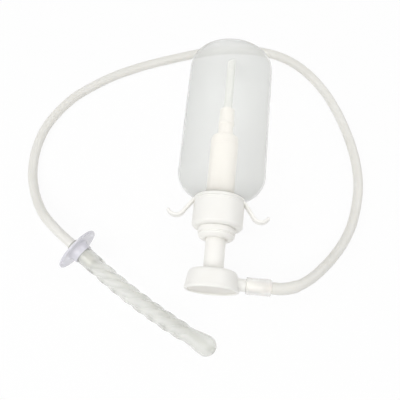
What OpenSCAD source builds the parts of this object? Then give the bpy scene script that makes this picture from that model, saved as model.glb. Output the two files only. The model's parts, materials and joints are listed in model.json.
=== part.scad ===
/* [Bottle] */
// Radius of the bottle's body
bottle_r = 30; // [27:0.5:33]
// Thickness of the bottle's wall
bottle_wall = 1.2; // [0.8:0.1:1.6]
// Radius of the round edge at the base
base_round = 12; // [8:0.5:14]
// Height at which the straight body ends and the shoulder starts
body_h = 95; // [85:1:105]
// Outer radius of the neck
neck_r = 12.9; // [12.6:0.1:13.2]
// Inner radius of the neck
neck_bore = 10.7; // [10.2:0.1:11]
// Height of the neck above the shoulder
neck_h = 16.4; // [15.6:0.1:18]

/* [Screw thread] */
// Rise of the thread in one turn
thread_pitch = 4.2; // [3.6:0.1:4.4]
// Number of turns of the thread
thread_turns = 1.5; // [1:0.25:1.5]
// How far the neck's thread stands out of the neck
thread_h = 0.85; // [0.6:0.05:0.9]
// Width of the thread's ridge at its root
thread_w = 1.5; // [1:0.1:1.6]

/* [Screw cap and finger grip] */
// Outer radius of the cap
cap_r = 17; // [16.4:0.1:18]
// Inner radius of the cap's skirt
cap_bore = 14.3; // [14.1:0.1:14.8]
// Thickness of the cap's end plate
cap_plate = 2.4; // [1.8:0.1:3]
// Height of the cap's skirt and plate
cap_h = 18.7; // [17.5:0.1:19]
// Chamfer round the cap's head side
cap_chamfer = 1.4; // [0.6:0.1:1.8]
// Height of the finger grip's ring
grip_ring_h = 2.3; // [1.8:0.1:2.6]
// Reach of each finger hook from the pump's axis
hook_reach = 34.5; // [33:0.5:38]
// Thickness of the hooks' strip
hook_t = 2.2; // [1.8:0.1:2.6]
// Width of the hooks' strip
hook_w = 6; // [5:0.5:9]
// Radius of each hook's hollow, at the middle of the strip
hook_bend = 5.9; // [5:0.1:6.2]

/* [Pump housing] */
// Outer radius of the pump's barrel
barrel_r = 9.5; // [9.3:0.1:10]
// Inner radius of the pump's barrel, in which the piston slides
barrel_bore = 8; // [7.8:0.1:8.3]
// Length of the barrel below the housing's flange
barrel_l = 62.9; // [58:0.5:68]
// Radius of the housing's flange on the neck
flange_r = 13.3; // [12.8:0.1:13.8]
// Thickness of the housing's flange
flange_h = 1.6; // [1.2:0.1:2]
// Thickness of the neck gasket
gasket_h = 1.4; // [1:0.1:2]
// Outer radius of the narrow lower stage
stage_r = 5.2; // [5:0.1:5.8]
// Length of the narrow lower stage
stage_h = 22; // [20:0.5:26]

/* [Valves and dip tube] */
// Radius of each valve ball
ball_r = 2.6; // [2.4:0.05:2.7]
// Radius of the hole that a ball closes
seat_r = 1.8; // [1.5:0.1:2]
// Radius of the chamber round a ball
ball_chamber_r = 3.5; // [3.3:0.05:3.6]
// How far a ball lifts
ball_lift = 1.5; // [1:0.1:1.8]
// Outer radius of the dip tube
dip_r = 3; // [2.6:0.1:3.2]
// Inner radius of the dip tube
dip_bore = 2; // [1.6:0.1:2.1]
// Height of the dip tube's open end above the bottle's base
dip_end = 3.5; // [2.5:0.5:8]

/* [Plunger] */
// Outer radius of the stem
stem_r = 6.65; // [6.4:0.05:6.8]
// Travel of the plunger
stroke = 18; // [12:1:19]
// Gap left between the collar and the head when it is pressed down
head_spare = 2.5; // [2:0.1:4]
// Height of the piston
piston_h = 9; // [7:0.5:10]
// Gap left above the piston, up to the collar's guide
piston_gap = 7.4; // [5.4:0.1:11]
// Outer radius of the piston rod
rod_r = 3.45; // [3.3:0.05:3.45]
// Radius of the passage up the stem
stem_bore = 2.2; // [1.8:0.1:2.3]
// Wire radius of the return spring
wire_r = 0.55; // [0.4:0.05:0.6]
// Radius of the spring at the middle of its wire
spring_r = 5.4; // [5.2:0.1:5.8]
// Number of curls in the return spring
spring_curls = 8; // [6:1:9]

/* [Locking collar] */
// Outer radius of the collar
collar_r = 12.5; // [11.8:0.1:13.5]
// Height of the collar
collar_h = 7.4; // [7:0.1:9]
// Height of the collar's lower band
collar_band_h = 3.3; // [2.6:0.1:3.6]
// How far the collar's stem guide reaches into the barrel
guide_l = 1.5; // [1:0.1:3]

/* [Push head] */
// Radius of the head at its rim
head_r = 17.6; // [16.8:0.1:19]
// Height of the head
head_h = 13; // [12.5:0.5:16]
// How much narrower the head is at its stem side
head_flare = 2; // [0.5:0.1:2.4]
// Round edge at the head's stem side
head_round = 2; // [1.5:0.5:3.5]
// Wall of the head's shell
head_wall = 1.8; // [1.4:0.1:2.2]
// Thickness of the head's end disc
head_disc_t = 1.5; // [1.2:0.1:1.8]
// Height of the spout's axis above the head's stem side
spout_z = 7.4; // [7.2:0.1:8]
// Radius of the spout
spout_r = 4; // [3.4:0.1:4.2]
// Reach of the spout's shoulder from the pump's axis
spout_reach = 21.4; // [20:0.2:24]
// Radius of the nipple on the spout
nipple_r = 3; // [2.6:0.1:3.2]
// Length of the nipple
nipple_l = 12; // [10:0.5:12.5]
// Radius of the passage through the spout
spout_bore = 1.6; // [1.2:0.1:1.8]

/* [Hose connector] */
// Outer radius of the clear sleeve
sleeve_r = 5.5; // [4.8:0.1:6]
// Length of the clear sleeve
sleeve_l = 16.2; // [15.6:0.2:18]
// Outer radius of the barb that joins sleeve and hose
barb_r = 2.1; // [1.9:0.05:2.15]
// Length of the barb inside the hose
barb_l = 4.5; // [3:0.5:5]

/* [Hose] */
// Outer radius of the hose
hose_r = 3.4; // [3.2:0.05:3.4]
// Inner radius of the hose
hose_bore = 2.45; // [2.4:0.05:2.6]
// Outer radius of the hose where it is stretched over the barb
hose_cuff_r = 3.9; // [3.6:0.1:4.2]

/* [Nozzle and guard disc] */
// Radius of the nozzle's smooth root
root_r = 6.1; // [5.8:0.1:6.5]
// Smooth root left past the disc's hub when the disc is pushed on
root_spare = 4.2; // [2:0.1:5]
// Length of the root on the hose side of the disc
root_back = 5; // [4:0.5:7]
// Number of strands twisted together
strands = 4; // [3:1:5]
// Radius of each twisted strand
strand_r = 3.4; // [3:0.1:3.8]
// Length of the twisted stretch
twist_l = 71; // [60:1:80]
// Length along the nozzle in which the strands make one full turn
twist_pitch = 40.8; // [30:0.2:60]
// Radius of the bulb at the nozzle's tip
bulb_r = 6.9; // [6.2:0.1:7.5]
// Length of the bulb's flare
flare_l = 15; // [12:0.5:18]
// Radius of the passage through the nozzle
nozzle_bore = 1.7; // [1.2:0.1:2]
// Depth of the socket that holds the hose's end
socket_l = 20; // [14:0.5:22]
// Radius of the guard disc
disc_r = 16; // [15:0.2:18]
// Thickness of the guard disc
disc_t = 1.6; // [1.2:0.1:2.4]
// Radius of the guard disc's hub
hub_r = 7.2; // [7.1:0.1:8.5]
// Length of the guard disc's hub
hub_l = 5; // [4:0.5:8]
// Way that the disc slides along the nozzle's root
disc_slide = 12; // [6:1:14]
// Radius of the slight bow that the twisted stretch lies in
bow_r = 405; // [300:5:900]
// Radius of the root's narrow end, where the hose goes in
root_end_r = 4.2; // [4:0.1:5.5]

/* [Hidden] */
$fn = 64;

// Small gaps between neighbours
slip = 0.05; // running fit of round pieces
gap = 0.1; // between flat faces that move or turn on each other
seat_gap = 0.05; // between a resting ball and its seat
loose = 0.3; // round the neck and in threads
arc_steps = 8; // straight pieces in a rounded corner

// Place of the pump's axis and of the bottle's base in the whole layout
axis_x = 33.9;
base_y = 107;
axis_z = bottle_r;

// Heights along the pump's axis, above the bottle's base
shoulder_r = bottle_r - neck_r;
neck_root = body_h + shoulder_r;
neck_top = neck_root + neck_h;
flange_z = neck_top + gasket_h;
plate_z = flange_z + flange_h + gap;
cap_top = plate_z + cap_plate;
cap_bottom = cap_top - cap_h;
collar_z = cap_top + gap;
collar_top = collar_z + collar_h;
chaplet_z = collar_z + 4.4; // top of the housing's upper tube, inside the collar
head_z = collar_top + stroke + head_spare;
head_top = head_z + head_h;
spout_h = head_z + spout_z;
barrel_z = flange_z - barrel_l;
stage_z = barrel_z - stage_h;
barrel_floor = 2;
guide_z = flange_z - guide_l;
piston_z = guide_z - piston_gap - piston_h;
chamber_z = barrel_z + barrel_floor;

// Valve seats are 45 degree cones: a ball's centre lies this far above the hole's edge
ball_rise = (ball_r + seat_gap) * sqrt(2) - seat_r;
inlet_edge = stage_z + 12;
inlet_centre = inlet_edge + ball_rise;
cage_foot = inlet_centre + ball_r + ball_lift + loose;
rod_flange = piston_z - gap - 2.6; // lower face of the rod's flange under the piston
stem_foot = piston_z + piston_h + gap;
rod_top = stem_foot + 7;
outlet_edge = rod_top - (ball_chamber_r - 0.5 - seat_r);
outlet_centre = outlet_edge + ball_rise;
ball_stop = outlet_centre + ball_r + ball_lift + loose;
stem_top = spout_h - spout_r;
cage_flange = 1.6; // thickness of the cage's flange
cage_spigot = 5; // height of the cage's spigot inside the spring
spring_foot = chamber_z + cage_flange + gap;

// Nozzle: place of the disc's centre and the way the nozzle points
root_l = disc_t / 2 + hub_l + disc_slide + root_spare; // on the tip side of the disc
bulb_at = root_l + twist_l + flare_l;
nozzle_dip = asin((disc_r - bulb_r) / bowed([0, 0, bulb_at])[2]);
nozzle_heading = -34.8;
nozzle_at = [-59, -46.3, disc_r * cos(nozzle_dip) + disc_t / 2 * sin(nozzle_dip)];
strand_off = root_r - gap - strand_r;
strand_sides = 8; // facets round each strand
strand_fade = 6; // length in which the strands run out at the bulb
waist_r = root_r - 1; // where the strands run into the bulb
bore_steps = 6; // straight lengths of the passage round the bow

// The hose leaves the sleeve along X and enters the nozzle's socket along the nozzle's axis
hose_start = [axis_x + spout_reach + gap + sleeve_l + gap, base_y - spout_h, axis_z];
nozzle_dir = [cos(nozzle_dip) * cos(nozzle_heading), cos(nozzle_dip) * sin(nozzle_heading), -sin(nozzle_dip)];
socket_end = nozzle_at + nozzle_dir * (socket_l - root_back - gap);
hose_lies = [
    [83.2, -61.3, 29.6], [89.1, -58.9, 28.6], [94.5, -55.4, 27.2], [99.4, -51.3, 25],
    [104.9, -45.6, 22.2], [113.1, -36, 17.4], [121.9, -23, 11.8], [129.1, -7.8, 6.9], [133.4, 8.8, 4],
    [134.9, 24.5, 3.5], [133.5, 40, 3.5], [129.8, 56, 3.5], [124.2, 71.9, 3.5], [117.7, 86.1, 3.5],
    [109.6, 99.8, 3.5], [99.3, 112.5, 3.5], [87.9, 122.3, 3.5], [75.5, 129, 3.5], [61.5, 132.9, 3.5],
    [46.5, 134, 3.5], [30, 132.8, 3.5], [10.5, 128.2, 3.5], [-14.5, 119.4, 3.5], [-38.5, 109.6, 3.5],
    [-61.5, 97.1, 3.5], [-82, 81.3, 3.5], [-91.2, 71.1, 3.5], [-98.9, 59.2, 3.5], [-104.3, 46.6, 3.5],
    [-106.9, 33.4, 3.5], [-107.2, 20.9, 3.5], [-105.1, 8, 4.4], [-100.4, -4.1, 7.1], [-93.9, -15.3, 11.2],
    [-85.7, -25.6, 15.6]];
hose_straight = 1.2; // straight run past the barb
hose_lead = 12; // straight run before the nozzle's root
hose_route = concat([hose_start, hose_start + [barb_l + hose_straight, 0, 0]], hose_lies,
    [for (back = [root_back + hose_lead, root_back - 3]) nozzle_at - nozzle_dir * back], [socket_end]);
hose_sides = 10;
cuff_l = 15; // length of the stretched start of the hose
cuff_taper = 5;

// Points of a round corner about a centre, from one angle to another
function arc(centre, r, a0, a1, steps = arc_steps) =
    [for (i = [0 : steps]) centre + r * [cos(a0 + (a1 - a0) * i / steps), sin(a0 + (a1 - a0) * i / steps)]];

// Point of a smooth curve through b and c, between its neighbours a and d
function spline(a, b, c, d, t) = 0.5 * (2 * b + (c - a) * t + (2 * a - 5 * b + 4 * c - d) * t * t
    + (3 * b - a - 3 * c + d) * t * t * t);
function unit(v) = v / norm(v);
function smooth_route(p) = let (n = len(p)) concat(
    [for (i = [0 : n - 2], t = [0, 0.5]) spline(p[max(i - 1, 0)], p[i], p[i + 1], p[min(i + 2, n - 1)], t)],
    [p[n - 1]]);
function way(p, i) = i == 0 ? 0 : norm(p[i] - p[i - 1]) + way(p, i - 1);
// Radius of the hose after a length of its route: wide over the barb, then its own size
function hose_size(s) = s < cuff_l ? hose_cuff_r
    : hose_r + (hose_cuff_r - hose_r) * max(0, 1 - (s - cuff_l) / cuff_taper);
function ring(p, i, r) = let (n = len(p), d = unit(p[min(i + 1, n - 1)] - p[max(i - 1, 0)]),
    u = unit(cross([0, 0, 1], d)), v = cross(d, u))
    [for (k = [0 : hose_sides - 1]) p[i] + r * (u * cos(360 * k / hose_sides) + v * sin(360 * k / hose_sides))];

// Lays a standing piece down: its height runs towards -Y and its base faces +Y
module laid() translate([axis_x, base_y, axis_z]) rotate([90, 0, 0]) children();

// Turns a piece drawn along Z into the nozzle's own line
module along_nozzle() translate(nozzle_at) rotate([0, 90 + nozzle_dip, nozzle_heading]) children();

// Turn of the nozzle's line at a height: it bows through the twisted stretch and then runs straight
function bow_turn(z) = min(max(z - root_l, 0), twist_l) / bow_r * 180 / PI;
function bowed(p) = let (a = bow_turn(p[2]), past = max(p[2] - root_l - twist_l, 0))
    [p[0], p[1] * cos(a) + bow_r * (1 - cos(a)) + past * sin(a),
        min(p[2], root_l) + (bow_r - p[1]) * sin(a) + past * cos(a)];

// A hollow round piece between two heights
module tube(r, bore, z0, z1) translate([0, 0, z0]) difference() {
    cylinder(r = r, h = z1 - z0);
    translate([0, 0, -1]) cylinder(r = bore, h = z1 - z0 + 2);
}

// A screw ridge that winds round Z, from its root to its tip, and starts at a height
module ridge(root, tip, z0, turns) {
    steps = ceil(turns * 24);
    half = thread_w / 2;
    crest = thread_w / 4;
    points = [for (i = [0 : steps]) let (a = 360 * turns * i / steps, z = z0 + thread_pitch * a / 360)
        each [for (q = [[root, -half], [tip, -crest], [tip, crest], [root, half]])
            [q[0] * cos(a), q[0] * sin(a), z + q[1]]]];
    inward = tip < root;
    sides = [for (i = [0 : steps - 1], k = [0 : 3]) let (n = (k + 1) % 4)
        [i * 4 + k, i * 4 + 4 + k, i * 4 + 4 + n, i * 4 + n]];
    ends = [[0, 1, 2, 3], [steps * 4 + 3, steps * 4 + 2, steps * 4 + 1, steps * 4]];
    faces = concat(sides, ends);
    polyhedron(points, [for (f = faces) inward ? f : [for (k = [len(f) - 1 : -1 : 0]) f[k]]]);
}

module bottle() color([0.93, 0.95, 0.94, 0.6]) laid() union() {
    inner = bottle_r - bottle_wall;
    rotate_extrude() polygon(concat(
        [[0, 0]],
        arc([bottle_r - base_round, base_round], base_round, -90, 0),
        arc([neck_r, body_h], shoulder_r, 0, 90),
        [[neck_r, neck_top], [neck_bore, neck_top], [neck_bore, neck_root - bottle_wall]],
        arc([neck_r, body_h], shoulder_r - bottle_wall, 90, 0),
        arc([bottle_r - base_round, base_round], inner - (bottle_r - base_round), 0, -90),
        [[0, bottle_wall]]));
    ridge(neck_r - 0.3, neck_r + thread_h, neck_top - 2.2 - thread_pitch * thread_turns, thread_turns);
}

module neck_gasket() color("gainsboro") laid() tube(neck_r - loose, barrel_r + loose, neck_top, flange_z);

module screw_cap() color("white") laid() difference() {
    union() {
        rotate_extrude() polygon([
            [cap_bore, cap_bottom], [cap_r, cap_bottom], [cap_r, cap_top - cap_chamfer],
            [cap_r - cap_chamfer, cap_top], [barrel_r + 2 * gap, cap_top], [barrel_r + 2 * gap, plate_z],
            [cap_bore, plate_z]]);
        ridge(cap_bore + 0.3, neck_r + loose,
            neck_top - 2.2 - thread_pitch * thread_turns - thread_w - 0.25, thread_turns);
    }
    // Counterbore that the finger grip's spigot fills
    translate([0, 0, cap_bottom - 1]) cylinder(r = cap_bore + 1, h = 3);
}

// Outline of a strip of even thickness along a path
function strip(path, t) = let (n = len(path), side = [for (i = [0 : n - 1])
    let (d = unit(path[min(i + 1, n - 1)] - path[max(i - 1, 0)])) [-d[1], d[0]] * t / 2])
    concat([for (i = [0 : n - 1]) path[i] + side[i]], [for (i = [n - 1 : -1 : 0]) path[i] - side[i]]);

module finger_grip() color("white") laid() {
    tip = 33; // angle at which the hook's curl ends
    centre = [hook_reach - hook_t / 2 - hook_bend * cos(tip), cap_bottom + 5.6];
    curl = arc(centre, hook_bend, 158, tip, 14);
    root = [[cap_bore + 1.6, cap_bottom - 1.2], [cap_r + 0.4, cap_bottom - 0.2]];
    tube(cap_r + 0.2, cap_bore + 0.1, cap_bottom - grip_ring_h, cap_bottom);
    tube(cap_bore + 1 - slip, cap_bore + 0.1, cap_bottom - 0.5, cap_bottom + 1.8);
    for (side = [0, 180]) rotate([0, 0, side]) difference() {
        rotate([90, 0, 0]) translate([0, 0, -hook_w / 2]) linear_extrude(hook_w) union() {
            polygon(strip(concat(root, curl), hook_t));
            translate(curl[len(curl) - 1]) circle(d = hook_t, $fn = 24);
        }
        translate([0, 0, cap_bottom]) cylinder(r = cap_r + 2 * gap, h = cap_h);
    }
}

module pump_housing() color("white") laid() difference() {
    rotate_extrude() polygon([
        [seat_r, stage_z + 10.6], [dip_r + slip, stage_z + 10.6], [dip_r + slip, stage_z],
        [stage_r, stage_z], [stage_r, stage_z + 10.4], [stage_r + 0.5, stage_z + 10.8],
        [stage_r + 0.5, stage_z + 11.8], [stage_r, stage_z + 12.2], [stage_r, barrel_z - 1],
        [stage_r + 1, barrel_z], [barrel_r - 1, barrel_z], [barrel_r, barrel_z + 1],
        [barrel_r, flange_z], [flange_r, flange_z], [flange_r, flange_z + flange_h],
        [barrel_r, flange_z + flange_h], [barrel_r, chaplet_z], [barrel_bore, chaplet_z],
        [barrel_bore, chamber_z], [ball_chamber_r, chamber_z],
        [ball_chamber_r, inlet_edge + ball_chamber_r - seat_r], [seat_r, inlet_edge]]);
    // Air vent below the flange
    translate([0, 0, flange_z - 4]) rotate([90, 0, 0]) cylinder(r = 0.7, h = barrel_r + 1);
}

module locking_collar() color("white") laid() rotate_extrude() polygon(concat(
    [[barrel_r + slip, collar_z], [collar_r, collar_z], [collar_r, collar_z + collar_band_h],
        [collar_r - 0.6, collar_z + collar_band_h + 0.3], [collar_r - 0.6, collar_z + collar_band_h + 0.8],
        [collar_r - 0.3, collar_z + collar_band_h + 1.1]],
    arc([collar_r - 2.3, collar_top - 2], 2, 0, 90),
    [[stem_r + 1, collar_top], [stem_r + slip, collar_top - 0.8], [stem_r + slip, guide_z],
        [barrel_bore - slip, guide_z], [barrel_bore - slip, chaplet_z + gap],
        [barrel_r + slip, chaplet_z + gap]]));

module valve_cage() color("whitesmoke") laid() difference() {
    union() {
        translate([0, 0, chamber_z]) cylinder(r = barrel_bore - slip, h = cage_flange);
        translate([0, 0, cage_foot]) cylinder(r = ball_chamber_r - slip, h = chamber_z - cage_foot + 1);
        translate([0, 0, chamber_z + 1]) cylinder(r = spring_r - wire_r - 0.8, h = cage_spigot - 1);
    }
    translate([0, 0, cage_foot - 1]) cylinder(r = seat_r, h = chamber_z + cage_spigot + 2 - cage_foot);
    for (turn = [0, 90]) rotate([0, 0, turn]) translate([-8, -0.6, cage_foot - 1])
        cube([16, 1.2, chamber_z - cage_foot - 1]);
}

module inlet_ball() color("silver") laid() translate([0, 0, inlet_centre]) sphere(r = ball_r);

module dip_tube() color([0.95, 0.96, 0.95, 0.8]) laid() difference() {
    tube(dip_r, dip_bore, dip_end, stage_z + 10.4);
    // Slanted open end
    translate([0, 0, dip_end]) rotate([0, 30, 0]) translate([-20, -20, -20]) cube([40, 40, 20]);
}

module return_spring() color("lightsteelblue") laid() {
    low = spring_foot + wire_r + gap;
    rise = rod_flange - spring_foot - 2 * wire_r - 2 * gap;
    rings = 8 * spring_curls;
    sides = 6;
    points = [for (i = [0 : rings]) let (a = 360 * i / 8, z = low + rise * i / rings)
        each [for (k = [0 : sides - 1]) let (b = 360 * k / sides, r = spring_r + wire_r * cos(b))
            [r * cos(a), r * sin(a), z + wire_r * sin(b)]]];
    skin = [for (i = [0 : rings - 1], k = [0 : sides - 1]) let (n = (k + 1) % sides)
        each [[i * sides + k, i * sides + n, i * sides + sides + n],
            [i * sides + k, i * sides + sides + n, i * sides + sides + k]]];
    ends = [[for (k = [0 : sides - 1]) sides - 1 - k], [for (k = [0 : sides - 1]) rings * sides + k]];
    polyhedron(points, [for (f = concat(skin, ends)) [for (k = [len(f) - 1 : -1 : 0]) f[k]]]);
}

module piston() color("ghostwhite") laid() translate([0, 0, piston_z]) rotate_extrude() polygon([
    [rod_r + slip, 0], [barrel_bore - 1.2, 0], [barrel_bore - slip, 0.6], [barrel_bore - slip, 1.8],
    [barrel_bore - 1.2, 3], [barrel_bore - 1.2, piston_h - 3], [barrel_bore - slip, piston_h - 1.8],
    [barrel_bore - slip, piston_h - 0.6], [barrel_bore - 1.2, piston_h], [rod_r + slip, piston_h]]);

module piston_rod() color("whitesmoke") laid() difference() {
    rotate_extrude() polygon([
        [seat_r, rod_flange - 2.4], [rod_r, rod_flange - 2.4], [rod_r, rod_flange],
        [spring_r + wire_r + 0.3, rod_flange], [spring_r + wire_r + 0.3, rod_flange + 2.6], [rod_r, rod_flange + 2.6],
        [rod_r, rod_top], [ball_chamber_r - 0.5, rod_top], [seat_r, outlet_edge]]);
    // Cross holes that let the liquid in above the flange
    translate([0, 0, rod_flange - 1.2]) for (turn = [0, 90]) rotate([90, 0, turn])
        translate([0, 0, -10]) cylinder(r = 0.8, h = 20);
}

module stem() color("white") laid() rotate_extrude() polygon([
    [ball_chamber_r, stem_foot], [stem_r, stem_foot], [stem_r, stem_top], [stem_bore, stem_top],
    [stem_bore, ball_stop], [ball_chamber_r, ball_stop]]);

module outlet_ball() color("silver") laid() translate([0, 0, outlet_centre]) sphere(r = ball_r);

module push_head() color("white") laid() {
    low_r = head_r - head_flare;
    hub = stem_r + 2.4;
    ledge = head_top - 0.6 - head_disc_t - gap; // seat of the end disc
    difference() {
        union() {
            rotate_extrude() polygon(concat(
                [[0, head_z]],
                arc([low_r - head_round, head_z + head_round], head_round, -90, 0),
                [[head_r - 0.2, head_top - 2.6], [head_r, head_top - 2.2]],
                arc([head_r - 0.6, head_top - 0.6], 0.6, 0, 90, 4),
                [[head_r - head_wall, head_top], [head_r - head_wall, ledge],
                    [head_r - head_wall - 0.9, ledge], [low_r - head_wall - 0.9, head_z + head_wall],
                    [hub, head_z + head_wall], [hub, ledge - 0.4], [0, ledge - 0.4]]));
            translate([0, 0, spout_h]) rotate([0, 90, 0]) cylinder(r = spout_r, h = spout_reach);
            difference() {
                translate([spout_reach - 1, 0, spout_h]) rotate([0, 90, 0])
                    cylinder(r = nipple_r, h = nipple_l + 1);
                // Slanted end of the nipple
                translate([spout_reach + nipple_l, 0, spout_h + nipple_r]) rotate([0, 30, 0])
                    translate([0, -6, -12]) cube([12, 12, 24]);
            }
        }
        translate([0, 0, head_z - 1]) cylinder(r = stem_r + slip, h = stem_top + gap - head_z + 1);
        translate([0, 0, head_z]) cylinder(r = stem_bore, h = spout_h - head_z);
        translate([0, 0, spout_h]) rotate([0, 90, 0]) cylinder(r = spout_bore, h = spout_reach + nipple_l + 1);
        translate([0, 0, ledge]) cylinder(r = head_r - head_wall, h = head_h);
    }
}

module head_disc() color("whitesmoke") laid() translate([0, 0, head_top - 0.6 - head_disc_t]) rotate_extrude()
    polygon([[0, 0], [head_r - head_wall - slip, 0], [head_r - head_wall - slip, head_disc_t - 0.3],
        [head_r - head_wall - slip - 0.3, head_disc_t], [0, head_disc_t]]);

module hose_connector() color([0.9, 0.9, 0.87, 0.6]) laid() translate([spout_reach + gap, 0, spout_h])
    rotate([0, 90, 0]) rotate_extrude() polygon(concat(
        arc([sleeve_r - 1.4, 1.4], 1.4, -90, 0, 5),
        arc([sleeve_r - 1.4, sleeve_l - 1.4], 1.4, 0, 90, 5),
        [[barb_r + slip, sleeve_l], [barb_r + slip, nipple_l + 1], [nipple_r + slip, nipple_l + 1],
            [nipple_r + slip, 0]]));

module connector_barb() color("whitesmoke") laid() translate([spout_reach + gap, 0, spout_h])
    rotate([0, 90, 0]) difference() {
        union() {
            translate([0, 0, nipple_l + 0.3]) cylinder(r = barb_r, h = sleeve_l - nipple_l - 0.3 + barb_l);
            translate([0, 0, nipple_l + 0.3]) cylinder(r = barb_r + 0.6, h = 0.6);
        }
        cylinder(r = barb_r - 0.8, h = 60);
    }

module hose() color([0.89, 0.88, 0.84]) {
    p = smooth_route(hose_route);
    n = len(p);
    m = hose_sides;
    outer = [for (i = [0 : n - 1]) each ring(p, i, hose_size(way(p, i)))];
    inner = [for (i = [0 : n - 1]) each ring(p, i, hose_bore)];
    shift = n * m;
    faces = concat(
        [for (i = [0 : n - 2], k = [0 : m - 1]) let (a = i * m + k, b = i * m + (k + 1) % m)
            each [[a, a + m, b], [b, a + m, b + m],
                [shift + a, shift + b, shift + a + m], [shift + b, shift + b + m, shift + a + m]]],
        [for (k = [0 : m - 1]) let (b = (k + 1) % m)
            each [[k, b, shift + k], [b, shift + b, shift + k]]],
        [for (k = [0 : m - 1]) let (a = (n - 1) * m + k, b = (n - 1) * m + (k + 1) % m)
            each [[a, shift + a, b], [b, shift + a, shift + b]]]);
    polyhedron(concat(outer, inner), faces);
}

// Edge of the strands laid side by side, at an angle from the middle of one strand
function strand_edge(a) = strand_off * cos(a) + sqrt(strand_r * strand_r - pow(strand_off * sin(a), 2));
// Ring of the twisted stretch at a height: its outline turns with the height and ends round at the bulb
function twist_ring(z) = let (share = 360 / strands, left = (root_l + twist_l - z) / strand_fade,
    w = left < 1 ? (1 + cos(180 * left)) / 2 : 0)
    [for (k = [0 : strands * strand_sides - 1]) let (a = (k % strand_sides) * 360 / (strands * strand_sides),
        turn = 360 * k / (strands * strand_sides) - 360 * (z - root_l) / twist_pitch,
        r = strand_edge(a - share / 2) * (1 - w) + waist_r * w) [r * cos(turn), r * sin(turn), z]];

// Solid through rings of points drawn along the straight nozzle, carried onto its bow
module ringed(rings) {
    steps = len(rings) - 1;
    m = len(rings[0]);
    skin = [for (i = [0 : steps - 1], k = [0 : m - 1]) let (n = (k + 1) % m)
        each [[i * m + k, i * m + m + n, i * m + n], [i * m + k, i * m + m + k, i * m + m + n]]];
    ends = [[for (k = [0 : m - 1]) k], [for (k = [m - 1 : -1 : 0]) steps * m + k]];
    polyhedron([for (r = rings, p = r) bowed(p)], concat(skin, ends));
}

// The strands twisted about each other, from inside the root to the bulb
module twisted_strands() {
    foot = root_l - 0.5;
    steps = ceil(24 * twist_l / twist_pitch);
    ringed([for (i = [0 : steps]) twist_ring(foot + (twist_l + 0.5) * i / steps)]);
}

// The passage from the socket to the tip
module passage() {
    heights = concat([socket_l - root_back - 1, root_l],
        [for (i = [1 : bore_steps]) root_l + twist_l * i / bore_steps], [bulb_at + bulb_r + 1]);
    ringed([for (z = heights) [for (k = [0 : 15]) [nozzle_bore * cos(22.5 * k), nozzle_bore * sin(22.5 * k), z]]]);
}

module nozzle() color([0.86, 0.87, 0.84]) along_nozzle() difference() {
    union() {
        // Smooth root with the socket for the hose
        translate([0, 0, -root_back]) rotate_extrude() polygon([
            [0, socket_l], [hose_r + slip, socket_l], [hose_r + slip, 0], [root_end_r, 0],
            [root_r, root_back - 1.2], [root_r, root_back + root_l], [0, root_back + root_l]]);
        twisted_strands();
        // Bulb
        translate(bowed([0, 0, root_l + twist_l])) rotate([-bow_turn(bulb_at), 0, 0]) rotate_extrude() polygon(concat(
            [[0, -0.5], [waist_r - 0.3, -0.5], [waist_r - 0.3, 0.2]],
            [for (i = [1 : 8]) [waist_r + (bulb_r - waist_r) * (1 - cos(180 * i / 8)) / 2, flare_l * i / 8]],
            arc([0, flare_l], bulb_r, 10, 90, 10)));
    }
    passage();
}

module guard_disc() color([0.83, 0.82, 0.88, 0.7]) along_nozzle() rotate_extrude() polygon([
    [root_r + slip, -disc_t / 2], [disc_r - 0.5, -disc_t / 2], [disc_r, -disc_t / 2 + 0.5],
    [disc_r, disc_t / 2 - 0.5], [disc_r - 0.5, disc_t / 2], [hub_r + 0.6, disc_t / 2],
    [hub_r, disc_t / 2 + 0.6], [hub_r - 0.4, disc_t / 2 + hub_l], [root_r + slip, disc_t / 2 + hub_l]]);

bottle();
neck_gasket();
screw_cap();
finger_grip();
pump_housing();
locking_collar();
valve_cage();
inlet_ball();
dip_tube();
return_spring();
piston();
piston_rod();
stem();
outlet_ball();
push_head();
head_disc();
hose_connector();
connector_barb();
hose();
nozzle();
guard_disc();
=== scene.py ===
# A hand-pump douche lying on its side, with its hose and its twisted nozzle with a guard disc
import json
import math

import bmesh
import bpy
import numpy as np
from mathutils import Matrix, Vector


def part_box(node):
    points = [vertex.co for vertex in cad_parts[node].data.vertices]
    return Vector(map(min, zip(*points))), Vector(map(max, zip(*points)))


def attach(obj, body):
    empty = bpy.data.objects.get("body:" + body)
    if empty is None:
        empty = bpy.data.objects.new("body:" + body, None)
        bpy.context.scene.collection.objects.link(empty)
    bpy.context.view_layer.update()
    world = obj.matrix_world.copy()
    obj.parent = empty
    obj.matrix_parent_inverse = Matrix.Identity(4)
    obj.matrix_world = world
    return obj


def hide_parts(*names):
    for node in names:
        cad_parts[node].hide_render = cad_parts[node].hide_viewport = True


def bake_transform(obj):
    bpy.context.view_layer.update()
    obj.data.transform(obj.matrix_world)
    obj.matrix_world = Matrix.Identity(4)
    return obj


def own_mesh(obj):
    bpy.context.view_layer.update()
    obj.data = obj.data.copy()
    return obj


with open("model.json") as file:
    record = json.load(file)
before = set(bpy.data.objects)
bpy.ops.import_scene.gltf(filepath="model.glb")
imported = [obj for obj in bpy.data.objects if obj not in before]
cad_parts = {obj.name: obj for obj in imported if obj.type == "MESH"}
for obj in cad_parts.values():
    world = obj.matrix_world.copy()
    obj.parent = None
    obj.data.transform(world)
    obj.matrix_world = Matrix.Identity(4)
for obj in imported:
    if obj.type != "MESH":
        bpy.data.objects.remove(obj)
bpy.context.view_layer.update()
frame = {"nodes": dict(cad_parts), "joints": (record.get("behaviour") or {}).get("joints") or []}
print("frame loaded:", len(frame["nodes"]), "nodes")

mm = 0.001
scene = bpy.context.scene

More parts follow.
